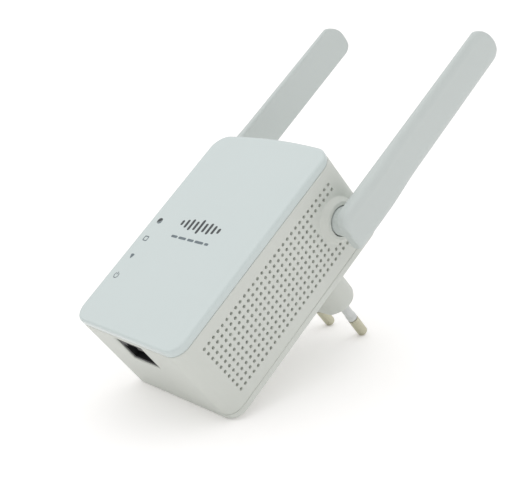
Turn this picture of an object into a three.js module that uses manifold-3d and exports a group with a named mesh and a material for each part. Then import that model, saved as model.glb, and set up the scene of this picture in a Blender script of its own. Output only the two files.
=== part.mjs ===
// Plug-in wireless range extender with two swivelling paddle antennas, modelled as an assembly.
// Millimetres. +Z is up along the raised antennas, -Y is the front face, +Y is the plug side.
// The origin is the centre of the plug boss's end face, the plane that meets the wall socket.
import * as THREE from 'three';
import { mergeVertices } from 'three/addons/utils/BufferGeometryUtils.js';
import Module from 'manifold-3d';

const wasm = await Module();
wasm.setup();

// ---- driving dimensions -------------------------------------------------------------------

const GAP = 0.3;              // clearance between touching pieces

const WIDTH = 60.0;           // housing, side to side
const TOP_Z = 21.4;           // top end, at the corners
const BOTTOM_Z = -65.0;       // bottom end
const ARCH = 1.8;             // rise of the top end at mid width
const CORNER_R = 6.0;         // corners of the front outline
const FRONT_Y = -60.8;        // front face
const FRONT_SEAM_Y = -58.0;   // joint between front cover and shell
const BACK_SEAM_Y = -26.2;    // joint between shell and back cover
const BACK_Y = -23.4;         // back face
const WALL = 2.0;             // shell wall
const FRONT_EDGE_R = 0.9;     // rounding of the front cover's edge
const BACK_EDGE_R = 1.2;      // rounding of the back cover's edge

const BOSS_HALF_W = 15.4;     // plug boss section, an elongated octagon
const BOSS_HALF_H = 7.0;
const BOSS_CHAMFER = 4.3;
const PIN_R = 2.0;            // two round plug pins, 19 mm long, slightly converging
const PIN_LENGTH = 19.0;
const PIN_SPACING = 18.6;     // between the axes where they leave the boss
const PIN_TOE_IN = 1.2;       // degrees each pin leans towards the other
const SLEEVE_LENGTH = 10.0;   // insulating sleeve on each pin

const JACK_HALF_W = 7.6;      // network socket body
const JACK_FRONT_Y = -56.3;
const JACK_BACK_Y = -45.5;
const JACK_DEPTH = 19.0;

const HINGE_Y = -40.5;        // antenna pivots, on the side walls
const HINGE_Z = 8.5;
const COLLAR_BASE_R = 8.1;    // raised ring around each pivot
const COLLAR_RIM_R = 5.9;
const COLLAR_RISE = 2.9;
const BARREL_R = 5.0;         // pivot barrel
const PADDLE_Y = -41.2;       // middle of the antenna paddle
const PADDLE_IN_X = 37.1;     // its flat inner face
const PADDLE_FOOT_Z = 2.4;
const PADDLE_TOP_Z = 96.6;
const PADDLE_HALF_W = 7.25;
const FOOT_THICK = 4.9;       // the foot is thick, and the blade thins towards its tip
const BLADE_THICK = 3.6;
const TIP_THICK = 2.5;
const FOOT_CORNER_R = 5.8;    // front corner of the foot
const EDGE_SWEEP = 3.4;       // width of the rounding along each edge of its outer face
const TIP_SWEEP_R = 10.5;     // the tip's long curve towards the front edge
const TIP_CORNER_R = 4.4;     // its tighter corner at the back
const FOOT_TOP_Z = 20;        // the foot blends into the blade between these heights
const BLADE_Z = 42;

const LED_X = -24.8;           // column of four indicators on the front face
const LED_Z = [-20.0, -28.1, -36.3, -44.8];

// ---- materials ----------------------------------------------------------------------------

const finish = (color, roughness, metalness = 0) =>
  new THREE.MeshStandardMaterial({ color, roughness, metalness });
const M = {
  frontWhite: finish(0xdfe6e4, 0.2),
  white: finish(0xd3d6d0, 0.45),
  antennaWhite: finish(0xd0d6d5, 0.42),
  sleeve: finish(0xbcc2c4, 0.5),
  brass: finish(0xb2ad8c, 0.35, 1),
  board: finish(0x1f6b3a, 0.5),
  black: finish(0x101112, 0.5),
  tin: finish(0xb8bbbd, 0.35, 1),
  copper: finish(0xb87333, 0.35, 1),
  amber: finish(0xd8b54a, 0.6),
  clear: finish(0xe8eeee, 0.15),
  wireBrown: finish(0x6b3d1f, 0.55),
  wireBlue: finish(0x2a4f9c, 0.55),
};

const extender = new THREE.Group();

// ---- geometry helpers ---------------------------------------------------------------------

const bare = (geometry) => {
  const g = geometry.clone();
  for (const name of Object.keys(g.attributes)) if (name !== 'position') g.deleteAttribute(name);
  return mergeVertices(g, 1e-4);
};

const toSolid = (geometry) => {
  const g = bare(geometry);
  const make = (triVerts) => new wasm.Manifold(new wasm.Mesh({
    numProp: 3, vertProperties: new Float32Array(g.attributes.position.array), triVerts,
  }));
  const tri = new Uint32Array(g.index.array);
  const solid = make(tri);
  if (solid.volume() > 0) return solid;
  for (let i = 0; i < tri.length; i += 3) [tri[i], tri[i + 1]] = [tri[i + 1], tri[i]];
  return make(tri);
};

const toGeometry = (solid) => {
  const mesh = solid.getMesh();
  const g = new THREE.BufferGeometry();
  const xyz = new Float32Array(mesh.vertProperties.length / mesh.numProp * 3);
  for (let i = 0; i < xyz.length / 3; i++) {
    for (let k = 0; k < 3; k++) xyz[3 * i + k] = mesh.vertProperties[mesh.numProp * i + k];
  }
  g.setAttribute('position', new THREE.BufferAttribute(xyz, 3));
  g.setIndex(new THREE.BufferAttribute(new Uint32Array(mesh.triVerts), 1));
  g.computeVertexNormals();
  return g;
};

const join = (...parts) => toGeometry(parts.map(toSolid).reduce((a, b) => a.add(b)));
const cut = (body, ...tools) => toGeometry(
  tools.map(toSolid).reduce((a, b) => a.subtract(b), toSolid(body)));

const add = (name, geometry, material) => {
  const mesh = new THREE.Mesh(geometry, material);
  mesh.name = name;
  extender.add(mesh);
  return mesh;
};

// box given by its low and high corners
const box = (x0, x1, y0, y1, z0, z1) =>
  new THREE.BoxGeometry(x1 - x0, y1 - y0, z1 - z0)
    .translate((x0 + x1) / 2, (y0 + y1) / 2, (z0 + z1) / 2);

// cylinder or cone along X or Y
const rodX = (r0, r1, x0, x1, y, z, sides = 32) =>
  new THREE.CylinderGeometry(r1, r0, x1 - x0, sides).rotateZ(-Math.PI / 2)
    .translate((x0 + x1) / 2, y, z);
const rodY = (r, y0, y1, x, z, sides = 24) =>
  new THREE.CylinderGeometry(r, r, y1 - y0, sides).translate(x, (y0 + y1) / 2, z);

// revolved profile of [radius, y] pairs about the Y axis
const turned = (profile, sides = 24) =>
  new THREE.LatheGeometry(profile.map(([r, y]) => new THREE.Vector2(r, y)), sides);

// skin through rings of equal point count; ring 0 and the last are capped, or joined if looped
const loft = (rings, looped = false) => {
  const n = rings[0].length;
  const xyz = rings.flatMap((ring) => ring.flatMap((p) => [p.x, p.y, p.z]));
  const index = [];
  const bands = looped ? rings.length : rings.length - 1;
  for (let r = 0; r < bands; r++) {
    const a = r * n;
    const b = ((r + 1) % rings.length) * n;
    for (let i = 0; i < n; i++) {
      const j = (i + 1) % n;
      index.push(a + i, a + j, b + j, a + i, b + j, b + i);
    }
  }
  if (!looped) {
    const flat = rings[0].map((p) => new THREE.Vector2(p.u, p.v));
    for (const [i, j, k] of THREE.ShapeUtils.triangulateShape(flat, [])) index.push(i, k, j);
    const last = (rings.length - 1) * n;
    const end = rings[rings.length - 1].map((p) => new THREE.Vector2(p.u, p.v));
    for (const [i, j, k] of THREE.ShapeUtils.triangulateShape(end, [])) {
      index.push(last + i, last + j, last + k);
    }
  }
  const g = new THREE.BufferGeometry();
  g.setAttribute('position', new THREE.Float32BufferAttribute(xyz, 3));
  g.setIndex(index);
  return g;
};

const arcPoints = (cx, cy, r, a0, a1, steps) => Array.from({ length: steps + 1 }, (_, i) => {
  const a = THREE.MathUtils.degToRad(a0 + (a1 - a0) * i / steps);
  return [cx + r * Math.cos(a), cy + r * Math.sin(a)];
});

// housing outline in the XZ plane at depth y, shrunk by inset, with the arched top end
const housingRing = (y, inset) => {
  const r = Math.max(CORNER_R - inset, 0.8);
  const x = WIDTH / 2 - inset;
  const z0 = BOTTOM_Z + inset;
  const z1 = TOP_Z - inset;
  const points = [
    ...arcPoints(x - r, z0 + r, r, -90, 0, 5),
    ...arcPoints(x - r, z1 - r, r, 0, 90, 5),
    ...Array.from({ length: 7 }, (_, i) => [(x - r) * (1 - (i + 1) / 4), z1]),
    ...arcPoints(-x + r, z1 - r, r, 90, 180, 5),
    ...arcPoints(-x + r, z0 + r, r, 180, 270, 5),
  ];
  return points.map(([px, pz]) => {
    const crown = ARCH * (1 - (px / x) ** 2) * THREE.MathUtils.clamp((pz - z1 + r) / r, 0, 1);
    return { x: px, y, z: pz + crown, u: px, v: pz + crown };
  });
};

// plug boss section in the XZ plane at depth y
const bossRing = (y, grow) => {
  const w = BOSS_HALF_W + grow;
  const h = BOSS_HALF_H + grow;
  const c = BOSS_CHAMFER + grow * 0.6;
  const e = 1.2;
  const corner = [[w, h - c - e], [w - e * 0.3, h - c], [w - c, h - e * 0.3], [w - c - e, h]];
  const points = [
    ...corner.map(([x, z]) => [x, -z]).reverse(),
    ...corner,
    ...corner.map(([x, z]) => [-x, z]).reverse(),
    ...corner.map(([x, z]) => [-x, -z]),
  ];
  return points.map(([x, z]) => ({ x, y, z, u: x, v: z }));
};

const edgeArc = (radius, steps) => Array.from({ length: steps + 1 }, (_, i) => {
  const a = Math.PI / 2 * i / steps;
  return { inset: radius * (1 - Math.sin(a)), drop: radius * (1 - Math.cos(a)) };
});

// round wire or cable along a smooth path
const cable = (points, radius, sides = 8, steps = 28) => {
  const path = new THREE.CatmullRomCurve3(points.map((p) => new THREE.Vector3(...p)));
  const section = new THREE.Shape(arcPoints(0, 0, radius, 0, 360 - 360 / sides, sides - 1)
    .map(([x, y]) => new THREE.Vector2(x, y)));
  return new THREE.ExtrudeGeometry(section, { steps, extrudePath: path });
};

// ---- housing ------------------------------------------------------------------------------

// front cover: a shallow tray with a rounded edge and a lip that slips inside the shell
const lipInset = WALL + GAP;
const frontCover = loft([
  ...edgeArc(FRONT_EDGE_R, 4).map(({ inset, drop }) => housingRing(FRONT_Y + drop, inset)),
  housingRing(FRONT_SEAM_Y - GAP / 2, 0),
  housingRing(FRONT_SEAM_Y - GAP / 2, lipInset),
  housingRing(FRONT_SEAM_Y + 1.9, lipInset),
  housingRing(FRONT_SEAM_Y + 1.9, lipInset + 1),
  housingRing(FRONT_Y + WALL, lipInset + 1),
]);
add('front_cover', cut(frontCover, box(-9.5, 9.5, FRONT_SEAM_Y - GAP / 2, -50, -63.5, -59)), M.frontWhite);

// shell: the four side walls, with the two pivot collars and the network socket opening
const shellTube = loft([
  housingRing(FRONT_SEAM_Y + GAP / 2, 0),
  housingRing(BACK_SEAM_Y - GAP / 2, 0),
  housingRing(BACK_SEAM_Y - GAP / 2, WALL),
  housingRing(FRONT_SEAM_Y + GAP / 2, WALL),
], true);
const side = WIDTH / 2;
const collar = (s) => {
  const at = (r0, r1, a, b) => (s > 0
    ? rodX(r0, r1, a, b, HINGE_Y, HINGE_Z) : rodX(r1, r0, -b, -a, HINGE_Y, HINGE_Z));
  return {
    rise: at(COLLAR_BASE_R, COLLAR_RIM_R, side - 0.5, side + COLLAR_RISE),
    inner: at(8.0, 8.0, side - 5.8, side - 0.2),
    bore: at(BARREL_R + GAP, BARREL_R + GAP, side - 7, side + 4),
    mouth: at(BARREL_R + GAP, BARREL_R + 0.5, side + 1.2, side + COLLAR_RISE + 0.01),
  };
};
const [right, left] = [collar(1), collar(-1)];
const TOP_Y = -42.0;          // push button on the top end
const BUTTON_HALF_W = 5.0;
const BUTTON_HALF_D = 2.5;
const topAt = (x) => TOP_Z + ARCH * (1 - (x / side) ** 2);
add('shell', cut(
  join(shellTube, right.rise, right.inner, left.rise, left.inner),
  right.bore, right.mouth, left.bore, left.mouth,
  box(-7.9, 7.9, -56.6, -45.2, BOTTOM_Z - 1, BOTTOM_Z + WALL + 1),
  box(-BUTTON_HALF_W - GAP, BUTTON_HALF_W + GAP, TOP_Y - BUTTON_HALF_D - GAP,
    TOP_Y + BUTTON_HALF_D + GAP, TOP_Z - 3, TOP_Z + 4),
), M.white);

// back cover: a flat tray with an opening for the plug boss
const backCover = loft([
  ...edgeArc(BACK_EDGE_R, 3).map(({ inset, drop }) => housingRing(BACK_Y - drop, inset)),
  housingRing(BACK_SEAM_Y + GAP / 2, 0),
  housingRing(BACK_SEAM_Y + GAP / 2, lipInset),
  housingRing(BACK_SEAM_Y - 1.6, lipInset),
  housingRing(BACK_SEAM_Y - 1.6, lipInset + 1),
  housingRing(BACK_Y - WALL, lipInset + 1),
]);
const bossOpening = loft([bossRing(BACK_Y - 4, GAP), bossRing(BACK_Y + 2, GAP)]);
add('back_cover', cut(backCover, bossOpening), M.white);

// plug boss: hollow, closed at the wall end, with a flange behind the back cover
const bossOuter = loft([
  bossRing(BACK_Y - 4, 0), bossRing(-1.4, 0), bossRing(-0.5, -0.4), bossRing(0, -1.3),
]);
const bossFlange = loft([bossRing(BACK_Y - 4, 2.4), bossRing(BACK_Y - WALL - GAP, 2.4)]);
const bossHollow = loft([bossRing(BACK_Y - 6, -2), bossRing(-3, -2)]);
const pinX = PIN_SPACING / 2;
add('plug_boss', cut(join(bossOuter, bossFlange), bossHollow,
  rodY(2.5, -5, 2, pinX, 0), rodY(2.5, -5, 2, -pinX, 0)), M.white);

// plug pins and their insulating sleeves
const pinProfile = [
  [0, -14], [1.0, -14], [1.0, SLEEVE_LENGTH + GAP], [PIN_R - 0.1, SLEEVE_LENGTH + GAP],
  [PIN_R, SLEEVE_LENGTH + 0.6], [PIN_R, PIN_LENGTH - 1.2], [PIN_R - 0.3, PIN_LENGTH - 0.45],
  [PIN_R - 0.85, PIN_LENGTH - 0.08], [0, PIN_LENGTH],
];
const sleeveProfile = [
  [1.2, -8], [2.2, -8], [2.2, -4], [1.75, -4], [1.75, SLEEVE_LENGTH - 2.2], [1.95, SLEEVE_LENGTH - 1.9],
  [1.95, SLEEVE_LENGTH], [1.2, SLEEVE_LENGTH], [1.2, -8],
];
for (const [name, s] of [['right', 1], ['left', -1]]) {
  const toe = THREE.MathUtils.degToRad(PIN_TOE_IN) * s;
  const pin = add(`plug_pin_${name}`, turned(pinProfile), M.brass);
  const sleeve = add(`pin_sleeve_${name}`, turned(sleeveProfile), M.sleeve);
  for (const mesh of [pin, sleeve]) {
    mesh.position.set(s * pinX, 0, 0);
    mesh.rotation.z = toe;
  }
}

// ---- electronics --------------------------------------------------------------------------

const BOARD_FRONT = -45.2 + GAP;   // main board, behind the network socket
const BOARD_BACK = BOARD_FRONT + 1.6;
add('main_board', join(
  box(-26, 26, BOARD_FRONT, BOARD_BACK, -60.6, -3),
  box(-18, 18, BOARD_FRONT, BOARD_BACK, -3.5, 15.5),
), M.board);

const POWER_FRONT = -31.2;         // power board, across the back
const POWER_BACK = POWER_FRONT + 1.6;
add('power_board', box(-24, 24, POWER_FRONT, POWER_BACK, -56, -1), M.board);

// network socket: an open-fronted box with a stepped mouth for the plug and its latch
const jackMouthZ = BOTTOM_Z + 0.4;
const jackBody = box(-JACK_HALF_W, JACK_HALF_W, JACK_FRONT_Y, JACK_BACK_Y, jackMouthZ, jackMouthZ + JACK_DEPTH);
add('network_socket', cut(jackBody,
  box(-5.95, 5.95, -53.4, -46.6, jackMouthZ - 1, jackMouthZ + 14),
  box(-3.1, 3.1, -54.9, -53, jackMouthZ - 1, jackMouthZ + 14),
), M.black);
add('socket_contacts', join(
  box(-4.6, 4.6, -46.5 - 0.4, -46.5 - 0.1, jackMouthZ + 6, jackMouthZ + 13.6),
  ...Array.from({ length: 8 }, (_, i) => {
    const x = (i - 3.5) * 1.02;
    return box(x - 0.22, x + 0.22, -47.9, -46.7, jackMouthZ + 7, jackMouthZ + 13.6);
  }),
), M.brass);

add('shield_can', cut(box(-8, 18, BOARD_FRONT - 3.4, BOARD_FRONT - GAP, -38, -12),
  box(-7.4, 17.4, BOARD_FRONT - 2.8, BOARD_FRONT, -37.4, -12.6)), M.tin);
add('processor', box(-2, 12, BOARD_FRONT - 1.5, BOARD_FRONT - GAP, -32, -18), M.black);

// indicators and the light guides that carry them to the front cover
LED_Z.forEach((z, i) => {
  add(`led_${i + 1}`, box(LED_X - 0.8, LED_X + 0.8, BOARD_FRONT - 1.1, BOARD_FRONT - GAP, z - 0.6, z + 0.6),
    M.amber);
  add(`light_guide_${i + 1}`, rodY(1.3, FRONT_Y + WALL + GAP, BOARD_FRONT - 1.5, LED_X, z, 16), M.clear);
});

// power supply: transformer, reservoir capacitors
const powerFace = POWER_FRONT - GAP;
add('transformer', join(
  box(-8.5, 8.5, powerFace - 11.2, powerFace, -40, -34),
  box(-8.5, 8.5, powerFace - 11.2, powerFace, -28, -22),
  box(-6, 6, powerFace - 10, powerFace - 1.2, -34.5, -27.5),
), M.amber);
add('capacitor_1', rodY(4.0, powerFace - 10.5, powerFace, -17, -13, 20), M.black);
add('capacitor_2', rodY(4.0, powerFace - 10.5, powerFace, 17, -13, 20), M.black);

// leads from the pins, over the power board's top edge to its front
const lead = (s) => cable([[s * (pinX + 0.3), -14.4, 0], [s * 10, -21, 0.8], [s * 11, -27.5, 2],
  [s * 12, -32, 2], [s * 12.3, -34.8, -1.5], [s * 12.3, -34.2, -5.4], [s * 12.3, POWER_FRONT - GAP, -7]], 0.8);
add('live_lead', lead(1), M.wireBrown);
add('neutral_lead', lead(-1), M.wireBlue);

// push button on the top end, over a top-push switch on the back of the main board
const pill = (hw, hd, z0, z1) => {
  const points = [...arcPoints(hw - hd, 0, hd, -90, 90, 8), ...arcPoints(hd - hw, 0, hd, 90, 270, 8)];
  const ring = (z) => points.map(([x, y]) => ({ x, y: TOP_Y + y, z, u: x, v: y }));
  return loft([ring(z0), ring(z1)]);
};
const buttonTop = topAt(0) + 0.9;
add('button_cap', join(
  pill(BUTTON_HALF_W, BUTTON_HALF_D, 20.6, buttonTop),
  box(-6.6, 6.6, TOP_Y - 3.4, TOP_Y + 3.4, 19.1, 20.0 + 0.7),
  box(-1.5, 1.5, TOP_Y - 0.9, TOP_Y + 1.2, 15.6, 19.4),
), M.white);
add('switch', box(-3, 3, BOARD_BACK + GAP, BOARD_BACK + 4.2, 10.2, 14.7), M.black);

// ---- antennas -----------------------------------------------------------------------------

// paddle thickness at height z
const thickness = (z) => {
  const blend = THREE.MathUtils.smoothstep(z, FOOT_TOP_Z, BLADE_Z);
  const taper = THREE.MathUtils.clamp((z - BLADE_Z) / (PADDLE_TOP_Z - BLADE_Z), 0, 1);
  return THREE.MathUtils.lerp(FOOT_THICK, BLADE_THICK, blend) - taper * (BLADE_THICK - TIP_THICK);
};

// one level section of the paddle: a rounded rectangle, pulled in on each face by inset
const paddleRing = (z, front, back, inset = 0) => {
  const x0 = PADDLE_IN_X + inset;
  const x1 = PADDLE_IN_X + thickness(z) - inset;
  const [y0, y1] = [PADDLE_Y - front, PADDLE_Y + back];
  const r0 = Math.min(0.9, (x1 - x0) * 0.3);
  const rx = Math.min(2.0, (x1 - x0) * 0.5);
  const ry = Math.min(EDGE_SWEEP, (y1 - y0) * 0.45);
  const swept = (y, side, a0) => arcPoints(0, 0, 1, a0, a0 + 90, 5)
    .map(([c, d]) => [x1 - rx + rx * c, y - side * ry + ry * d]);
  return [
    ...arcPoints(x0 + r0, y0 + r0, r0, 180, 270, 2),
    ...swept(y0, -1, 270),
    ...swept(y1, 1, 0),
    ...arcPoints(x0 + r0, y1 - r0, r0, 90, 180, 2),
  ].map(([x, y]) => ({ x, y, z, u: x, v: y }));
};

// half width left by a corner of radius r, a height d below the corner's end
const cornerWidth = (r, d) => PADDLE_HALF_W - r + Math.sqrt(r * r - (r - Math.min(d, r)) ** 2);

// reach of the tip's long curve towards the front edge, a depth d below the tip
const tipFront = (d) => Math.min(PADDLE_HALF_W,
  Math.sqrt(TIP_SWEEP_R ** 2 - (TIP_SWEEP_R - d) ** 2) - 2.0);

const antenna = (name, s) => {
  const mirrored = (g) => (s > 0 ? g : g.scale(-1, 1, 1));
  const blade = loft([
    ...[0.12, 0.6, 1.4, 2.6, 4.1].map((d) => paddleRing(PADDLE_FOOT_Z + d,
      cornerWidth(FOOT_CORNER_R, d), cornerWidth(1.5, d), Math.max(0, 0.7 - d))),
    ...[7, 20, 24, 28, 32, 37, 42, 58, 74].map((z) => paddleRing(z, PADDLE_HALF_W, PADDLE_HALF_W)),
    ...[5.5, 4.4, 3.3, 2.3, 1.4, 0.7, 0.25, 0.05].map((d) => paddleRing(PADDLE_TOP_Z - d,
      tipFront(d), cornerWidth(TIP_CORNER_R, d), Math.max(0, 0.9 - d) * 0.8)),
  ]);
  const slot = box(PADDLE_IN_X + 0.8, PADDLE_IN_X + 1.7, PADDLE_Y - 3.2, PADDLE_Y + 3.2, 6.4, 80);
  const entry = rodX(3.1, 3.1, PADDLE_IN_X - 1, PADDLE_IN_X + 1.3, HINGE_Y, HINGE_Z, 24);
  add(`antenna_paddle_${name}`, toGeometry(toSolid(mirrored(cut(blade, slot, entry)))), M.antennaWhite);

  const barrel = join(
    rodX(BARREL_R, BARREL_R, 24.0, PADDLE_IN_X - GAP, HINGE_Y, HINGE_Z),
    rodX(4.6, 4.6, 23.0, 24.2, HINGE_Y, HINGE_Z),
    rodX(BARREL_R - 0.3, BARREL_R - 0.3, 21.8, 23.1, HINGE_Y, HINGE_Z),
    rodX(2.8, 2.8, PADDLE_IN_X - 0.5, PADDLE_IN_X + 0.5, HINGE_Y, HINGE_Z, 24),
  );
  const bore = rodX(1.8, 1.8, 20, 40, HINGE_Y, HINGE_Z, 20);
  add(`hinge_barrel_${name}`, toGeometry(toSolid(mirrored(cut(barrel, bore)))), M.antennaWhite);

  const clip = cut(rodX(7.2, 7.2, 23.1, 23.7, HINGE_Y, HINGE_Z),
    rodX(4.8, 4.8, 22, 25, HINGE_Y, HINGE_Z),
    box(22, 25, HINGE_Y - 2.4, HINGE_Y + 2.4, HINGE_Z - 9, HINGE_Z));
  add(`retaining_clip_${name}`, toGeometry(toSolid(mirrored(clip))), M.tin);

  const element = join(
    box(PADDLE_IN_X + 1.1, PADDLE_IN_X + 1.4, PADDLE_Y - 2.4, PADDLE_Y + 2.4, 7.0, 76),
    rodX(0.7, 0.7, 31, PADDLE_IN_X + 1.3, HINGE_Y, HINGE_Z, 12),
  );
  add(`antenna_element_${name}`, toGeometry(toSolid(mirrored(element))), M.copper);

  // pigtail from the back of the main board into the barrel's bore
  const pigtail = cable([[s * 14, BOARD_BACK + 0.9, -8], [s * 14, -41, -6.5], [s * 14.4, -40.2, -2],
    [s * 16, HINGE_Y, 5], [s * 20, HINGE_Y, HINGE_Z - 0.2], [s * 24, HINGE_Y, HINGE_Z],
    [s * 28.5, HINGE_Y, HINGE_Z]], 0.65);
  add(`pigtail_${name}`, pigtail, M.black);
};
antenna('right', 1);
antenna('left', -1);

export default extender;
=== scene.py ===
import math

import bmesh
import bpy
from mathutils import Matrix, Vector


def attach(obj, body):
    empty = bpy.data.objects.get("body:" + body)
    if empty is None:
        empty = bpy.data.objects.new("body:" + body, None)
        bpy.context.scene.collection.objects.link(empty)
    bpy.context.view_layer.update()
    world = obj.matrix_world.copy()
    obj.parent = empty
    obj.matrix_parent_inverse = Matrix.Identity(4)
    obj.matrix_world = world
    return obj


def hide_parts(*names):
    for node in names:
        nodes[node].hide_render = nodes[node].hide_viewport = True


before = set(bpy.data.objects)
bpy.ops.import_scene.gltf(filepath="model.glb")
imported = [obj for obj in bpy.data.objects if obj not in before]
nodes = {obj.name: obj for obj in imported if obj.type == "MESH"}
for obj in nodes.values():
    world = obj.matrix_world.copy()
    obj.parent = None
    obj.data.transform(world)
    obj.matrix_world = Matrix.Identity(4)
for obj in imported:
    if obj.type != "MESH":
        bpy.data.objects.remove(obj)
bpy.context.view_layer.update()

# ---- dimensions in millimetres, as in the CAD ----------------------------------------------------

MM = 0.001
GAP = 0.3                     # clearance between pieces that meet
SIDES = (("right", 1), ("left", -1))

WIDTH = 60.0                  # housing, across its side walls
TOP_Z = 21.4                  # top end, where it meets the sides
ARCH = 1.8                    # rise of the top end's middle
BOTTOM_Z = -65.0
CORNER_R = 6.0                # corners as seen from the front
FRONT_Y = -60.8
FRONT_SEAM_Y = -58.0          # middle of the seam behind the front cover
BACK_SEAM_Y = -26.2           # middle of the seam before the back cover
BACK_Y = -23.4
WALL = 2.0
FRONT_EDGE_R = 0.9
BACK_EDGE_R = 1.2
LIP = WALL + GAP              # inset of the lips that slip into the shell
FRONT_LIP = 1.9               # how far each cover's lip reaches past its seam
BACK_LIP = 1.6
GROOVE = 0.30                 # depth of the seams that show
SOCKET_HALF_W = 7.9           # network socket's opening in the bottom end
SOCKET_FRONT_Y = -56.6
SOCKET_BACK_Y = -45.2

BOSS_HALF_W = 15.4            # plug boss
BOSS_HALF_H = 7.0
BOSS_CHAMFER = 4.3
BOSS_EDGE_R = 1.4
PIN_R = 2.0
PIN_LENGTH = 19.0
PIN_X = 9.3                   # pin axes from the middle, where they leave the boss
PIN_TOE_IN = 1.2              # degrees
PIN_TIP_R = 1.15              # rounding of the pin's tip
SLEEVE_LENGTH = 10.0

HINGE_Y = -40.5               # axis of both antennas
HINGE_Z = 8.5
BARREL_R = 5.0
COLLAR_BORE_R = 5.3
# the collar's section, as (radius, height over the side wall), from its skirt inside the wall
COLLAR_SKIRT = ((7.9, -5.8), (7.9, -0.8), (8.5, -0.8), (8.5, 0.005))
COLLAR_FLANK = ((8.2, 0.05), (8.02, 0.18), (7.85, 0.42), (7.3, 1.2), (6.72, 2.0))
COLLAR_RIM = ((6.6, 2.14), (6.45, 2.22), (6.25, 2.26), (5.75, 2.36), (5.55, 2.4), (5.4, 2.38), (5.32, 2.3))

PADDLE_Y = -41.05             # middle of a paddle, front to back
PADDLE_IN_X = 37.1            # its inner face
PADDLE_FOOT_Z = 2.6
PADDLE_TOP_Z = 96.6
PADDLE_HALF_W = 7.4
FOOT_THICK = 4.9              # paddle thickness at its foot, above the neck and at the tip
BLADE_THICK = 3.6
TIP_THICK = 2.5
FOOT_TOP_Z = 20               # the foot thins to the blade between these heights
BLADE_Z = 42
EDGE_SWEEP = 3.4              # width of the soft outer edges
TIP_SWEEP_R = 10.5            # long curve from the tip to the front edge
TIP_SWEEP_SHIFT = 2.0
TIP_CORNER_R = 4.4            # tip's back corner
FOOT_CORNER_R = 4.8           # foot's front corner
FOOT_BACK_R = 1.5             # foot's back corner
SLOT_HALF_W = 3.2             # slot for the antenna element
SLOT_Z = (6.4, 80)

BUTTON_Y = -42.0
BUTTON_HALF_W = 5.0
BUTTON_HALF_D = 2.5
BUTTON_PROUD = 0.9            # how far it stands over the top end
BUTTON_EDGE_R = 0.55

GRILLE_PITCH = 2.4
GRILLE_HOLE_R = 0.58
GRILLE_DEPTH = 1.15
GRILLE_Y = -52.8              # the front, bottom hole of each side grille
GRILLE_Z = -56.18
GRILLE_ROWS = (30, 30, 24, 24, 24, 24, 24, 24, 26, 27)   # holes up each column, front to back

PRINT_X = -24.8               # the four indicator symbols
PRINT_Z = (-19.8, -28.0, -36.1, -44.9)
INK_PROUD = 0.03
MOTIF_X = -2.2                # the motif of bars and dashes
MOTIF_PITCH = 2.55
MOTIF_BARS_Z = -18.35
MOTIF_BAR_HEIGHTS = (2.2, 3.6, 4.8, 3.8, 6.1, 3.8, 4.8, 3.6, 2.2)
MOTIF_DASHES_Z = -24.4
MOTIF_DASHES = ((-11.2, 3.4), (-6.6, 4.2), (-1.9, 3.4), (2.9, 4.6), (7.0, 2.0))   # (centre x, width)

# ---- mesh helpers --------------------------------------------------------------------------------


def mesh_object(name, verts, faces):
    """A closed mesh in millimetres, with its normals facing out."""
    mesh = bpy.data.meshes.new(name)
    mesh.from_pydata([tuple(v) for v in verts], [], faces)
    bm = bmesh.new()
    bm.from_mesh(mesh)
    bmesh.ops.remove_doubles(bm, verts=bm.verts, dist=1e-4)
    bmesh.ops.recalc_face_normals(bm, faces=bm.faces)
    bm.to_mesh(mesh)
    bm.free()
    obj = bpy.data.objects.new(name, mesh)
    bpy.context.scene.collection.objects.link(obj)
    return obj


def loft(name, rings, looped=False):
    """Skin through rings of equal point count, capped at both ends unless looped."""
    n = len(rings[0])
    verts = [p for ring in rings for p in ring]
    faces = []
    for r in range(len(rings) if looped else len(rings) - 1):
        a, b = r * n, (r + 1) % len(rings) * n
        faces += [(a + i, a + (i + 1) % n, b + (i + 1) % n, b + i) for i in range(n)]
    if not looped:
        faces += [tuple(range(n)), tuple(range((len(rings) - 1) * n, len(rings) * n))]
    return mesh_object(name, verts, faces)


def lathe(name, profile, axis, centre, steps=64, looped=False):
    """Revolves [radius, distance along axis] pairs. A closed tube if looped."""
    def point(r, d, a):
        u, v = r * math.cos(a), r * math.sin(a)
        p = {"X": (d, u, v), "Y": (u, d, v), "Z": (u, v, d)}[axis]
        return tuple(c + o for c, o in zip(p, centre))
    rings = [[point(r, d, 2 * math.pi * i / steps) for i in range(steps)] for r, d in profile]
    return loft(name, rings, looped)


def block(name, x0, x1, y0, y1, z0, z1):
    """A plain box between two corners."""
    return loft(name, [[(x0, y0, z), (x1, y0, z), (x1, y1, z), (x0, y1, z)] for z in (z0, z1)])


def joined(name, objs):
    """One object that holds several meshes."""
    bm = bmesh.new()
    for o in objs:
        bm.from_mesh(o.data)
        bpy.data.objects.remove(o)
    mesh = bpy.data.meshes.new(name)
    bm.to_mesh(mesh)
    bm.free()
    obj = bpy.data.objects.new(name, mesh)
    bpy.context.scene.collection.objects.link(obj)
    return obj


def combine(obj, other, operation):
    """Joins other to obj (UNION) or takes it away (DIFFERENCE)."""
    mod = obj.modifiers.new("combine", "BOOLEAN")
    mod.operation, mod.solver, mod.object = operation, "MANIFOLD", other
    shaped = obj.evaluated_get(bpy.context.evaluated_depsgraph_get())
    mesh = bpy.data.meshes.new_from_object(shaped)
    obj.modifiers.remove(mod)
    obj.data = mesh
    bpy.data.objects.remove(other)


def mirrored(obj, sign):
    """The mesh itself for the right side, and its mirror image for the left."""
    if sign < 0:
        obj.data.transform(Matrix.Diagonal((-1, 1, 1, 1)))
        obj.data.flip_normals()
    return obj


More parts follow.
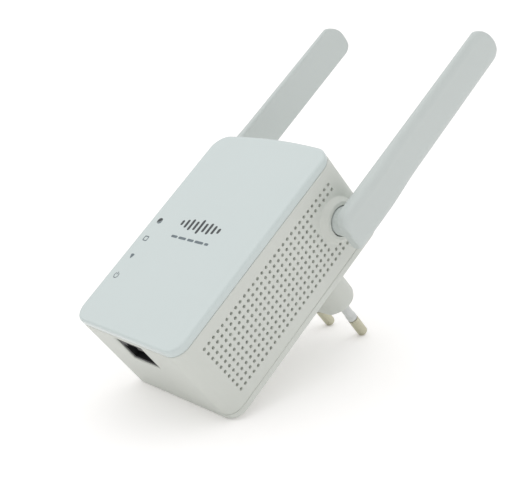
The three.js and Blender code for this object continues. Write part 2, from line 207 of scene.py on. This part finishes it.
def finished(obj, material, body, stands_for=(), sharp=32):
    """Scales the mesh to metres, shades it and puts it on its body."""
    mesh = obj.data
    mesh.transform(Matrix.Scale(MM, 4))
    mesh.materials.clear()
    mesh.materials.append(material)
    mesh.shade_smooth()
    mesh.set_sharp_from_angle(angle=math.radians(sharp))
    weighted = obj.modifiers.new("weighted", "WEIGHTED_NORMAL")
    weighted.keep_sharp, weighted.weight = True, 80
    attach(obj, body)
    if stands_for:
        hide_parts(*stands_for)
    return obj


def arc(cx, cy, r, a0, a1, steps):
    """Points along an arc, from angle a0 to a1 in degrees."""
    return [(cx + r * math.cos(math.radians(a0 + (a1 - a0) * i / steps)),
             cy + r * math.sin(math.radians(a0 + (a1 - a0) * i / steps))) for i in range(steps + 1)]


def edge_arc(radius, steps):
    """(inset, drop) pairs of a rounded edge, from the flat face to the side."""
    turns = [math.pi / 2 * i / steps for i in range(steps + 1)]
    return [(radius * (1 - math.sin(a)), radius * (1 - math.cos(a))) for a in turns]


# ---- materials -----------------------------------------------------------------------------------


def shader(name):
    """A new material, its node tree and its main shader node."""
    material = bpy.data.materials.new(name)
    material.use_nodes = True
    tree = material.node_tree
    return material, tree, tree.nodes["Principled BSDF"]


def noise(tree, scale, detail=3.0, stretch=None):
    """Noise in object space. stretch scales the three axes."""
    where = tree.nodes.new("ShaderNodeTexCoord").outputs["Object"]
    if stretch:
        mapping = tree.nodes.new("ShaderNodeMapping")
        mapping.inputs["Scale"].default_value = stretch
        tree.links.new(where, mapping.inputs["Vector"])
        where = mapping.outputs["Vector"]
    node = tree.nodes.new("ShaderNodeTexNoise")
    node.inputs["Scale"].default_value = scale
    node.inputs["Detail"].default_value = detail
    tree.links.new(where, node.inputs["Vector"])
    return node.outputs["Fac"]


def ramp(tree, value, stops):
    """Colours a value, by (position, colour) stops."""
    node = tree.nodes.new("ShaderNodeValToRGB")
    elements = node.color_ramp.elements
    elements[0].position, elements[0].color = stops[0][0], (*stops[0][1], 1)
    elements[1].position, elements[1].color = stops[-1][0], (*stops[-1][1], 1)
    for position, color in stops[1:-1]:
        elements.new(position).color = (*color, 1)
    tree.links.new(value, node.inputs["Fac"])
    return node.outputs["Color"]


def ranged(tree, value, low, high, source=(0.3, 0.7)):
    """Maps the source range of a value to low and high."""
    node = tree.nodes.new("ShaderNodeMapRange")
    for key, number in zip(("From Min", "From Max", "To Min", "To Max"), (*source, low, high)):
        node.inputs[key].default_value = number
    tree.links.new(value, node.inputs["Value"])
    return node.outputs["Result"]


def bump(tree, height, distance, under=None):
    """A normal raised by a height value, up to distance in metres."""
    node = tree.nodes.new("ShaderNodeBump")
    node.inputs["Distance"].default_value = distance
    tree.links.new(height, node.inputs["Height"])
    if under:
        tree.links.new(under, node.inputs["Normal"])
    return node.outputs["Normal"]


def tone(color, factor):
    return tuple(c * factor for c in color)


def surface(name, color, roughness, grain=2600.0, depth=0.00002, cloud=45.0, spread=0.02,
            metallic=0.0, ior=1.5, coat=0.0, wave=0.0, stretch=None, rough_spread=0.12):
    """A moulded or drawn surface: faint cloudiness, a fine grain and uneven gloss."""
    material, tree, bsdf = shader(name)
    clouds = noise(tree, cloud, 4.0, stretch)
    tree.links.new(ramp(tree, clouds, [(0.3, tone(color, 1 - spread)), (0.5, color),
                                       (0.7, tone(color, 1 + spread * 0.6))]), bsdf.inputs["Base Color"])
    grains = noise(tree, grain, 2.0, stretch)
    tree.links.new(ranged(tree, clouds, roughness * (1 - rough_spread), roughness * (1 + rough_spread)),
                   bsdf.inputs["Roughness"])
    normal = bump(tree, grains, depth)
    if wave:
        normal = bump(tree, noise(tree, 160.0, 1.0), wave, normal)
    tree.links.new(normal, bsdf.inputs["Normal"])
    bsdf.inputs["Metallic"].default_value = metallic
    bsdf.inputs["IOR"].default_value = ior
    if coat:
        bsdf.inputs["Coat Weight"].default_value = coat
        bsdf.inputs["Coat Roughness"].default_value = 0.06
    return material


FRONT_COLOR = (0.650, 0.722, 0.715)
HOUSING_COLOR = (0.680, 0.704, 0.660)
ANTENNA_COLOR = (0.616, 0.664, 0.650)

front_white = surface("front_white", FRONT_COLOR, 0.16, grain=900.0, depth=0.000002, cloud=30.0,
                      spread=0.008, wave=0.000006)
housing_white = surface("housing_white", HOUSING_COLOR, 0.46, grain=3800.0, depth=0.000012,
                        spread=0.014)
antenna_white = surface("antenna_white", ANTENNA_COLOR, 0.40, grain=3200.0, depth=0.00001,
                        spread=0.014)
sleeve_white = surface("sleeve_white", (0.70, 0.72, 0.71), 0.5, grain=2400.0, spread=0.03)
pin_metal = surface("pin_metal", (0.58, 0.565, 0.44), 0.30, grain=1500.0, depth=0.000004, cloud=260.0,
                    spread=0.10, metallic=1.0, stretch=(1, 0.12, 1), rough_spread=0.3)
ink = surface("ink", (0.05, 0.058, 0.062), 0.5, grain=5000.0, depth=0.000004, spread=0.15)
ink_light = surface("ink_light", (0.16, 0.20, 0.22), 0.5, grain=5000.0, depth=0.000004, spread=0.10)
black_plastic = surface("black_plastic", (0.012, 0.013, 0.014), 0.48, grain=3000.0, spread=0.25)
tin = surface("tin", (0.60, 0.61, 0.62), 0.32, grain=700.0, depth=0.000006, cloud=320.0, spread=0.08,
              metallic=1.0, stretch=(0.15, 1, 1), rough_spread=0.3)
copper = surface("copper", (0.64, 0.34, 0.18), 0.34, grain=900.0, depth=0.000005, cloud=300.0,
                 spread=0.14, metallic=1.0, rough_spread=0.3)
gold = surface("gold_flash", (0.80, 0.60, 0.24), 0.25, grain=900.0, depth=0.000003, cloud=400.0,
               spread=0.08, metallic=1.0, rough_spread=0.3)
coil_tape = surface("coil_tape", (0.62, 0.46, 0.10), 0.34, grain=500.0, depth=0.00002, cloud=500.0,
                    spread=0.10, stretch=(0.3, 1, 1))
clear_plastic = surface("clear_plastic", (0.80, 0.85, 0.85), 0.12, grain=600.0, depth=0.000002,
                        spread=0.01)
brown_lead = surface("brown_lead", (0.12, 0.045, 0.018), 0.5, grain=1600.0, spread=0.10)
blue_lead = surface("blue_lead", (0.02, 0.06, 0.26), 0.5, grain=1600.0, spread=0.10)
can_sleeve = surface("can_sleeve", (0.018, 0.02, 0.03), 0.3, grain=900.0, depth=0.000006, spread=0.2)


def circuit_board():
    """Green solder mask over raised copper tracks, with paler tracks."""
    material, tree, bsdf = shader("circuit_board")
    where = tree.nodes.new("ShaderNodeTexCoord").outputs["Object"]
    tracks = tree.nodes.new("ShaderNodeTexVoronoi")
    tracks.distance, tracks.feature = "CHEBYCHEV", "DISTANCE_TO_EDGE"
    tracks.inputs["Scale"].default_value = 260.0
    tracks.inputs["Randomness"].default_value = 0.7
    tree.links.new(where, tracks.inputs["Vector"])
    line = ranged(tree, tracks.outputs["Distance"], 1.0, 0.0, (0.04, 0.09))
    tree.links.new(ramp(tree, line, [(0.0, (0.012, 0.105, 0.040)), (1.0, (0.035, 0.200, 0.080))]),
                   bsdf.inputs["Base Color"])
    tree.links.new(bump(tree, line, 0.00004), bsdf.inputs["Normal"])
    tree.links.new(ranged(tree, noise(tree, 300.0), 0.28, 0.42), bsdf.inputs["Roughness"])
    return material


board_green = circuit_board()

# ---- housing -------------------------------------------------------------------------------------


def housing_ring(y, inset):
    """The housing's outline at depth y, shrunk by inset, with its arched top end."""
    r = max(CORNER_R - inset, 0.8)
    x, z0, z1 = WIDTH / 2 - inset, BOTTOM_Z + inset, TOP_Z - inset
    across = [((x - r) * (1 - (i + 1) / 12), z1) for i in range(23)]
    points = [*arc(x - r, z0 + r, r, -90, 0, 14), *arc(x - r, z1 - r, r, 0, 90, 14), *across,
              *arc(-x + r, z1 - r, r, 90, 180, 14), *arc(-x + r, z0 + r, r, 180, 270, 14)]

    def crown(px, pz):
        return ARCH * (1 - (px / x) ** 2) * min(max((pz - z1 + r) / r, 0), 1)
    return [(px, y, pz + crown(px, pz)) for px, pz in points]


def boss_ring(y, grow):
    """The plug boss's outline at depth y: an octagon with rounded corners."""
    w, h = BOSS_HALF_W + grow, BOSS_HALF_H + grow
    c = BOSS_CHAMFER + grow * 0.6
    quarter = []
    for a, corner, b in (((w, max(h - c - 2.2, 0.1)), (w, h - c), (w - 1.6, h - c + 1.6)),
                         ((w - c + 1.6, h - 1.6), (w - c, h), (w - c - 2.4, h))):
        for i in range(7):
            t = i / 6
            quarter.append(tuple((1 - t) ** 2 * a[k] + 2 * t * (1 - t) * corner[k] + t * t * b[k]
                                 for k in (0, 1)))
    points = [*[(x, -z) for x, z in reversed(quarter)], *quarter,
              *[(-x, z) for x, z in reversed(quarter)], *[(-x, -z) for x, z in quarter]]
    return [(x, y, z) for x, z in points]


def seam_edge(y, toward):
    """Rings of a slightly broken edge at a seam; toward is +1 where the seam is on the +Y side."""
    return [housing_ring(y - toward * 0.34, 0), housing_ring(y - toward * 0.12, 0.07),
            housing_ring(y, 0.2)]


def tongue(y, toward):
    """Rings of the step that closes the seam from inside, leaving a shallow groove."""
    return [housing_ring(y, GROOVE), housing_ring(y + toward * (GAP - 0.04), GROOVE),
            housing_ring(y + toward * (GAP - 0.04), LIP)]


def front_cover():
    """Glossy tray whose lip slips into the shell."""
    seam = FRONT_SEAM_Y - GAP / 2
    cover = loft("front_panel", [
        *[housing_ring(FRONT_Y + drop, inset) for inset, drop in edge_arc(FRONT_EDGE_R, 9)],
        *seam_edge(seam, 1), *tongue(seam, 1), housing_ring(FRONT_SEAM_Y + FRONT_LIP, LIP),
        housing_ring(FRONT_SEAM_Y + FRONT_LIP, LIP + 1), housing_ring(FRONT_Y + WALL, LIP + 1)])
    # room for the network socket behind the lip's bottom run
    combine(cover, block("notch", -9.5, 9.5, seam, -50, -63.5, -59), "DIFFERENCE")
    finished(cover, front_white, "housing", ["front_cover"], 28)


def collar(sign):
    """Raised ring round an antenna pivot, swept into the side wall."""
    side = WIDTH / 2
    bore = ((COLLAR_BORE_R, 2.1), (COLLAR_BORE_R, -5.8))
    profile = [(r, side + h) for r, h in (*COLLAR_SKIRT, *COLLAR_FLANK, *COLLAR_RIM, *bore)]
    return mirrored(lathe("collar", profile, "X", (0, HINGE_Y, HINGE_Z), 72, True), sign)


def pill_ring(z, grow):
    """Outline of the push button at height z."""
    r = BUTTON_HALF_D + grow
    reach = BUTTON_HALF_W - BUTTON_HALF_D
    points = [*arc(reach, 0, r, -90, 90, 14), *arc(-reach, 0, r, 90, 270, 14)]
    return [(x, BUTTON_Y + y, z) for x, y in points]


def grille_cutters(sign):
    """One short flared pin for each vent hole in a side wall."""
    side = WIDTH / 2
    deep = side - GRILLE_DEPTH
    flare = [(0, deep - 0.2), (GRILLE_HOLE_R - 0.2, deep - 0.14), (GRILLE_HOLE_R - 0.05, deep),
             (GRILLE_HOLE_R, deep + 0.2), (GRILLE_HOLE_R, side - 0.12), (GRILLE_HOLE_R + 0.07, side - 0.02),
             (GRILLE_HOLE_R + 0.12, side + 0.4), (0, side + 0.4)]
    pins = []
    for column, rows in enumerate(GRILLE_ROWS):
        for row in range(rows):
            centre = (0, GRILLE_Y + column * GRILLE_PITCH, GRILLE_Z + row * GRILLE_PITCH)
            pins.append(lathe("hole", flare, "X", centre, 14))
    return mirrored(joined("holes", pins), sign)


def socket_ring(z, grow):
    """Outline of the network socket's opening at height z."""
    x, y0, y1 = SOCKET_HALF_W + grow, SOCKET_FRONT_Y - grow, SOCKET_BACK_Y + grow
    return [(-x, y0, z), (x, y0, z), (x, y1, z), (-x, y1, z)]


def shell():
    """Four side walls in one loop, with collars, grilles, the socket's opening and the button's."""
    y0, y1 = FRONT_SEAM_Y + GAP / 2, BACK_SEAM_Y - GAP / 2
    body = loft("side_wall", [*reversed(seam_edge(y0, -1)), *seam_edge(y1, 1),
                              housing_ring(y1, WALL), housing_ring(y0, WALL)], True)
    for _, sign in SIDES:
        bore = lathe("bore", [(0, 22), (COLLAR_BORE_R, 22), (COLLAR_BORE_R, 31), (0, 31)], "X",
                     (0, HINGE_Y, HINGE_Z), 72)
        combine(body, mirrored(bore, sign), "DIFFERENCE")
        combine(body, collar(sign), "UNION")
        combine(body, grille_cutters(sign), "DIFFERENCE")
    flares = ((0.3, BOTTOM_Z - 0.4), (0.25, BOTTOM_Z), (0, BOTTOM_Z + 0.3), (0, BOTTOM_Z + 3))
    combine(body, loft("mouth", [socket_ring(z, grow) for grow, z in flares]), "DIFFERENCE")
    button_hole = loft("button_hole", [pill_ring(18, GAP), pill_ring(23.05, GAP), pill_ring(23.5, 0.75),
                                       pill_ring(25, 0.75)])
    combine(body, button_hole, "DIFFERENCE")
    finished(body, housing_white, "housing", ["shell"], 30)


def back_cover():
    """Flat tray with the opening for the plug boss."""
    seam = BACK_SEAM_Y + GAP / 2
    cover = loft("back_panel", [
        *[housing_ring(BACK_Y - drop, inset) for inset, drop in edge_arc(BACK_EDGE_R, 8)],
        *seam_edge(seam, -1), *tongue(seam, -1), housing_ring(BACK_SEAM_Y - BACK_LIP, LIP),
        housing_ring(BACK_SEAM_Y - BACK_LIP, LIP + 1), housing_ring(BACK_Y - WALL, LIP + 1)])
    combine(cover, loft("opening", [boss_ring(BACK_Y - 4, GAP), boss_ring(BACK_Y - 0.25, GAP),
                                    boss_ring(BACK_Y + 0.2, GAP + 0.4)]), "DIFFERENCE")
    finished(cover, housing_white, "housing", ["back_cover"], 30)


def plug_boss():
    """Hollow boss, closed at the wall end, with a flange behind the back cover."""
    boss = loft("boss", [
        boss_ring(BACK_Y - 4, 0), boss_ring(BACK_Y + 0.4, 0),
        *[boss_ring(-drop, -inset) for inset, drop in reversed(edge_arc(BOSS_EDGE_R, 7))]])
    flange = loft("flange", [boss_ring(BACK_Y - 4, 2.4), boss_ring(BACK_Y - WALL - GAP, 2.4)])
    combine(boss, flange, "UNION")
    combine(boss, loft("hollow", [boss_ring(BACK_Y - 6, -2), boss_ring(-3, -2)]), "DIFFERENCE")
    for _, sign in SIDES:
        hole = [(0, -5), (2.5, -5), (2.5, -0.3), (2.75, 0.05), (2.75, 2), (0, 2)]
        combine(boss, lathe("hole", hole, "Y", (sign * PIN_X, 0, 0), 40), "DIFFERENCE")
    finished(boss, housing_white, "housing", ["plug_boss"], 30)


def toed_in(obj, sign):
    """Moves a piece made on the Y axis to its pin's place and leans it towards the other pin."""
    lean = Matrix.Rotation(math.radians(PIN_TOE_IN) * sign, 4, "Z")
    obj.data.transform(Matrix.Translation((sign * PIN_X, 0, 0)) @ lean)
    return obj


def plug_pins():
    """Round pins, each through a sleeve that widens to a ring beside the bare metal."""
    turns = [math.radians(d) for d in (0, 15, 30, 45, 60, 75, 88)]
    tip = [(PIN_R - PIN_TIP_R + PIN_TIP_R * math.cos(a), PIN_LENGTH - PIN_TIP_R + PIN_TIP_R * math.sin(a))
           for a in turns]
    pin = [(0, -14), (1, -14), (1, SLEEVE_LENGTH + GAP), (PIN_R - 0.12, SLEEVE_LENGTH + GAP),
           (PIN_R, SLEEVE_LENGTH + 0.5), *tip, (0, PIN_LENGTH)]
    sleeve = [(1.2, -8), (2.2, -8), (2.2, -4), (1.75, -4), (1.75, SLEEVE_LENGTH - 2.3),
              (1.8, SLEEVE_LENGTH - 2.1), (1.93, SLEEVE_LENGTH - 1.9), (1.95, SLEEVE_LENGTH - 0.2),
              (1.88, SLEEVE_LENGTH), (1.2, SLEEVE_LENGTH)]
    for name, sign in SIDES:
        metal = toed_in(lathe(f"pin_{name}", pin, "Y", (0, 0, 0), 48), sign)
        finished(metal, pin_metal, "housing", [f"plug_pin_{name}"], 35)
        tube = toed_in(lathe(f"sleeve_{name}", sleeve, "Y", (0, 0, 0), 48, True), sign)
        finished(tube, sleeve_white, "housing", [f"pin_sleeve_{name}"], 35)


def push_button():
    """Pill-shaped cap with a flange that stops it in the top end and a stem for the switch."""
    top = TOP_Z + ARCH + BUTTON_PROUD
    cap = loft("button", [
        pill_ring(20.6, 0),
        *[pill_ring(top - drop, -inset) for inset, drop in reversed(edge_arc(BUTTON_EDGE_R, 5))]])
    combine(cap, block("flange", -6.6, 6.6, BUTTON_Y - 3.4, BUTTON_Y + 3.4, 19.1, 20.7), "UNION")
    combine(cap, block("stem", -1.5, 1.5, BUTTON_Y - 0.9, BUTTON_Y + 1.2, 15.6, 19.4), "UNION")
    finished(cap, housing_white, "push_button", ["button_cap"], 30)


# ---- printed marks on the front ------------------------------------------------------------------


def printed(name, shapes, material):
    """Thin raised ink: each shape is a closed outline of (x, z) points, or a pair (outer, inner)."""
    parts = []
    near, far = FRONT_Y - INK_PROUD, FRONT_Y + 0.05
    for shape in shapes:
        if isinstance(shape[0], tuple):
            parts.append(loft("mark", [[(x, y, z) for x, z in shape] for y in (near, far)]))
        else:
            outer, inner = shape
            rings = [[(x, y, z) for x, z in ring] for ring, y in
                     ((outer, near), (outer, far), (inner, far), (inner, near))]
            parts.append(loft("mark", rings, True))
    finished(joined(name, parts), material, "housing")


def bar(cx, cz, w, h, r):
    """A rounded bar's outline."""
    x, z = w / 2 - r, h / 2 - r
    return [*arc(cx + x, cz - z, r, -90, 0, 5), *arc(cx + x, cz + z, r, 0, 90, 5),
            *arc(cx - x, cz + z, r, 90, 180, 5), *arc(cx - x, cz - z, r, 180, 270, 5)]


def sector(cx, cz, r0, r1, a0, a1):
    """A thick arc's outline."""
    return [*arc(cx, cz, r1, a0, a1, 12), *arc(cx, cz, r0, a1, a0, 12)]


def marks():
    """Four generic indicator symbols, and a motif of upright bars over short dashes."""
    x = PRINT_X
    z1, z2, z3, z4 = PRINT_Z
    printed("mark_link", [arc(x, z1, 1.3, 20, 230, 20)], ink)
    printed("mark_link_half", [arc(x + 0.12, z1 - 0.06, 1.2, -125, 15, 16)], ink_light)
    printed("mark_port", [[bar(x, z2, 2.5, 2.2, 0.5), bar(x, z2, 1.7, 1.4, 0.25)]], ink_light)
    printed("mark_signal", [[(x, z3 - 1.15), (x + 0.35, z3 - 0.75), *arc(x, z3 - 0.5, 1.5, 48, 132, 10),
                             (x - 0.35, z3 - 0.75)]], ink_light)
    power = [sector(x, z4, 0.95, 1.3, -235, 55), bar(x, z4 + 0.85, 0.34, 1.3, 0.15)]
    printed("mark_power", power, ink_light)
    middle = len(MOTIF_BAR_HEIGHTS) // 2
    printed("motif_bars", [bar(MOTIF_X + MOTIF_PITCH * (i - middle), MOTIF_BARS_Z, 1.25, h, 0.6)
                           for i, h in enumerate(MOTIF_BAR_HEIGHTS)], ink)
    printed("motif_dashes", [bar(cx, MOTIF_DASHES_Z, w, 1.0, 0.45) for cx, w in MOTIF_DASHES], ink_light)


# ---- antennas ------------------------------------------------------------------------------------


def smoothstep(v, lo, hi):
    """0 below lo, 1 above hi, and a smooth rise between them."""
    t = min(max((v - lo) / (hi - lo), 0), 1)
    return t * t * (3 - 2 * t)


def thickness(z):
    """Paddle thickness at height z: a thick foot, then a blade that tapers to the tip."""
    blend = smoothstep(z, FOOT_TOP_Z, BLADE_Z)
    taper = min(max((z - BLADE_Z) / (PADDLE_TOP_Z - BLADE_Z), 0), 1)
    return FOOT_THICK + (BLADE_THICK - FOOT_THICK) * blend - taper * (BLADE_THICK - TIP_THICK)


def paddle_ring(z, front, back, inset=0.0):
    """One level section of a paddle, with tight inner corners and soft, wide outer edges."""
    x0, x1 = PADDLE_IN_X + inset, PADDLE_IN_X + thickness(z) - inset
    y0, y1 = PADDLE_Y - front, PADDLE_Y + back
    r0 = min(0.9, (x1 - x0) * 0.3)
    rx = min(2.0, (x1 - x0) * 0.5)
    ry = min(EDGE_SWEEP, (y1 - y0) * 0.45)

    def swept(y, side, a0):
        return [(x1 - rx + rx * c, y - side * ry + ry * d) for c, d in arc(0, 0, 1, a0, a0 + 90, 12)]
    points = [*arc(x0 + r0, y0 + r0, r0, 180, 270, 5), *swept(y0, -1, 270), *swept(y1, 1, 0),
              *arc(x0 + r0, y1 - r0, r0, 90, 180, 5)]
    return [(x, y, z) for x, y in points]


def corner_width(r, d):
    """Half width left by a corner of radius r, a height d below the corner's end."""
    return PADDLE_HALF_W - r + math.sqrt(r * r - (r - min(d, r)) ** 2)


def tip_front(d):
    """Reach of the tip's long curve towards the front edge, a depth d below the tip."""
    return min(PADDLE_HALF_W, math.sqrt(TIP_SWEEP_R ** 2 - (TIP_SWEEP_R - d) ** 2) - TIP_SWEEP_SHIFT)


def paddle_levels():
    """The paddle's sections, from its rounded foot up to its tip."""
    foot = (0.1, 0.3, 0.6, 1.0, 1.6, 2.3, 3.1, 4.0, 4.8)
    tip = (5.6, 5.2, 4.7, 4.1, 3.5, 2.9, 2.3, 1.8, 1.35, 0.95, 0.62, 0.36, 0.18, 0.05)
    low, high, steps = 8.2, PADDLE_TOP_Z - 6.4, 38
    blade = [low + i * (high - low) / steps for i in range(steps + 1)]
    return [
        *[paddle_ring(PADDLE_FOOT_Z + d, corner_width(FOOT_CORNER_R, d), corner_width(FOOT_BACK_R, d),
                      max(0, 0.7 - d)) for d in foot],
        *[paddle_ring(z, PADDLE_HALF_W, PADDLE_HALF_W) for z in blade],
        *[paddle_ring(PADDLE_TOP_Z - d, tip_front(d), corner_width(TIP_CORNER_R, d),
                      max(0, 0.9 - d) * 0.8) for d in tip]]


def paddle(name, sign):
    """The antenna's blade, hollow inside for its element and open round the cable's entry."""
    pivot = (0, HINGE_Y, HINGE_Z)
    blade = loft(f"paddle_{name}", paddle_levels())
    slot = block("slot", PADDLE_IN_X + 0.8, PADDLE_IN_X + 1.7, PADDLE_Y - SLOT_HALF_W,
                 PADDLE_Y + SLOT_HALF_W, *SLOT_Z)
    combine(blade, slot, "DIFFERENCE")
    entry = [(0, PADDLE_IN_X - 1), (3.1, PADDLE_IN_X - 1), (3.1, PADDLE_IN_X + 1.3), (0, PADDLE_IN_X + 1.3)]
    combine(blade, lathe("entry", entry, "X", pivot, 36), "DIFFERENCE")
    finished(mirrored(blade, sign), antenna_white, f"antenna_{name}",
             [f"antenna_paddle_{name}"], 40)


def barrel(name, sign):
    """Hollow hinge barrel, with a groove for its clip and a spigot into the paddle."""
    end = PADDLE_IN_X - GAP
    profile = [(1.8, 21.8), (4.7, 21.8), (4.7, 23.05), (4.6, 23.05), (4.6, 24.0), (4.8, 24.0),
               (BARREL_R, 24.2), (BARREL_R, end - 0.25), (BARREL_R - 0.08, end - 0.07),
               (BARREL_R - 0.25, end), (2.8, end), (2.8, PADDLE_IN_X + 0.5), (1.8, PADDLE_IN_X + 0.5)]
    tube = lathe(f"barrel_{name}", profile, "X", (0, HINGE_Y, HINGE_Z), 72, True)
    finished(mirrored(tube, sign), antenna_white, f"antenna_{name}",
             [f"hinge_barrel_{name}"], 35)


front_cover()
shell()
back_cover()
plug_boss()
plug_pins()
push_button()
marks()
for name, sign in SIDES:
    paddle(name, sign)
    barrel(name, sign)

# ---- CAD pieces that stay ------------------------------------------------------------------------

KEPT = {
    "main_board": board_green, "power_board": board_green, "network_socket": black_plastic,
    "socket_contacts": gold, "shield_can": tin, "processor": black_plastic, "transformer": coil_tape,
    "capacitor_1": can_sleeve, "capacitor_2": can_sleeve, "live_lead": brown_lead,
    "neutral_lead": blue_lead, "switch": black_plastic, "retaining_clip_right": tin,
    "retaining_clip_left": tin, "antenna_element_right": copper, "antenna_element_left": copper,
    "pigtail_right": black_plastic, "pigtail_left": black_plastic,
    **{f"led_{i}": coil_tape for i in (1, 2, 3, 4)},
    **{f"light_guide_{i}": clear_plastic for i in (1, 2, 3, 4)},
}
BEVEL_WIDTH = 0.08 * MM
for name, material in KEPT.items():
    obj = nodes[name]
    if not obj.material_slots:
        obj.data.materials.append(material)
    for slot in obj.material_slots:
        slot.material = material
    bevel = obj.modifiers.new("bevel", "BEVEL")
    bevel.width, bevel.segments, bevel.limit_method = BEVEL_WIDTH, 2, "ANGLE"

# ---- floor, light and camera ---------------------------------------------------------------------

# The extender lies on its bottom back edge and the tips of its pins, so the floor leans in its frame.
LEAN = math.radians(56.2)
UP = Vector((0, -math.sin(LEAN), math.cos(LEAN)))
resting = ("back_cover", "plug_pin_right")
rests = min(UP @ v.co for part in resting for v in nodes[part].data.vertices)

FLOOR_HALF = 20.0                        # metres
FLOOR_COLOR = (0.92, 0.912, 0.908)
FLOOR_GLOW = (1.0, 0.97, 0.96)
GLOW_BOUNCED, GLOW_SEEN = 0.12, 0.23     # the floor's own light on the object, and in the camera
SURROUND = 0.60                          # light from the white surround, and how bright the camera sees it
SURROUND_SEEN = 1.1
SUN_ENERGY = 1.18
SUN_SPREAD = math.radians(110)           # a wide source, like a softbox over the table
SUN_FROM = UP + Vector((-0.10, 0.04, 0.06))
LENS, SENSOR = 80.5, 36.0
CAMERA_PLACE = Vector((306.26, -266.54, -138.15)) * MM
CAMERA_RIGHT = Vector((0.63238, 0.52138, 0.57294))
CAMERA_DOWN = Vector((0.15833, 0.63700, -0.75443))


def floor_material():
    """White table: mostly bright, with soft grey where the object shades it. Clear from underneath."""
    material = bpy.data.materials.new("floor_white")
    material.use_nodes = True
    tree = material.node_tree
    tree.nodes.remove(tree.nodes["Principled BSDF"])
    diffuse = tree.nodes.new("ShaderNodeBsdfDiffuse")
    diffuse.inputs["Color"].default_value = (*FLOOR_COLOR, 1)
    glow = tree.nodes.new("ShaderNodeEmission")
    glow.inputs["Color"].default_value = (*FLOOR_GLOW, 1)
    seen = tree.nodes.new("ShaderNodeMapRange")
    seen.inputs["To Min"].default_value = GLOW_BOUNCED
    seen.inputs["To Max"].default_value = GLOW_SEEN
    tree.links.new(tree.nodes.new("ShaderNodeLightPath").outputs["Is Camera Ray"], seen.inputs["Value"])
    tree.links.new(seen.outputs["Result"], glow.inputs["Strength"])
    both = tree.nodes.new("ShaderNodeAddShader")
    tree.links.new(diffuse.outputs[0], both.inputs[0])
    tree.links.new(glow.outputs[0], both.inputs[1])
    clear = tree.nodes.new("ShaderNodeBsdfTransparent")
    mix = tree.nodes.new("ShaderNodeMixShader")
    tree.links.new(tree.nodes.new("ShaderNodeNewGeometry").outputs["Backfacing"], mix.inputs[0])
    tree.links.new(both.outputs[0], mix.inputs[1])
    tree.links.new(clear.outputs[0], mix.inputs[2])
    tree.links.new(mix.outputs[0], tree.nodes["Material Output"].inputs["Surface"])
    return material


def floor():
    """A large leaning plane, just under the points that the extender rests on."""
    across, along = Vector((1, 0, 0)), Vector((0, math.cos(LEAN), math.sin(LEAN)))
    middle = UP * (rests - 0.05 * MM) + along * -0.02
    corners = [middle + across * (i * FLOOR_HALF) + along * (j * FLOOR_HALF)
               for i, j in ((-1, -1), (1, -1), (1, 1), (-1, 1))]
    mesh = bpy.data.meshes.new("floor")
    mesh.from_pydata(corners, [], [(0, 1, 2, 3)])
    mesh.materials.append(floor_material())
    obj = bpy.data.objects.new("floor", mesh)
    bpy.context.scene.collection.objects.link(obj)


def background(tree, strength):
    node = tree.nodes.new("ShaderNodeBackground")
    node.inputs["Color"].default_value = (1.0, 1.0, 1.0, 1)
    node.inputs["Strength"].default_value = strength
    return node.outputs[0]


def studio():
    """White surround, plain white to the camera, and one wide overhead light."""
    world = bpy.data.worlds.new("studio")
    world.use_nodes = True
    bpy.context.scene.world = world
    tree = world.node_tree
    tree.nodes.remove(tree.nodes["Background"])
    mix = tree.nodes.new("ShaderNodeMixShader")
    tree.links.new(tree.nodes.new("ShaderNodeLightPath").outputs["Is Camera Ray"], mix.inputs[0])
    tree.links.new(background(tree, SURROUND), mix.inputs[1])
    tree.links.new(background(tree, SURROUND_SEEN), mix.inputs[2])
    tree.links.new(mix.outputs[0], tree.nodes["World Output"].inputs["Surface"])
    sun = bpy.data.lights.new("overhead", "SUN")
    sun.energy, sun.angle = SUN_ENERGY, SUN_SPREAD
    obj = bpy.data.objects.new("overhead", sun)
    obj.rotation_euler = SUN_FROM.to_track_quat("Z", "Y").to_euler()
    bpy.context.scene.collection.objects.link(obj)


def camera():
    """Looks down at the front, the bottom end and the right side of the lying extender."""
    data = bpy.data.cameras.new("camera")
    data.sensor_width, data.lens = SENSOR, LENS
    data.clip_start, data.clip_end = 0.01, 100.0
    data.dof.use_dof = False
    obj = bpy.data.objects.new("camera", data)
    obj.location = CAMERA_PLACE
    up = -CAMERA_DOWN
    turned = Matrix((CAMERA_RIGHT, up, CAMERA_RIGHT.cross(up))).transposed().to_4x4()
    obj.matrix_world = Matrix.Translation(obj.location) @ turned
    bpy.context.scene.collection.objects.link(obj)
    bpy.context.scene.camera = obj


floor()
studio()
camera()
bpy.context.scene.view_settings.view_transform = "Standard"
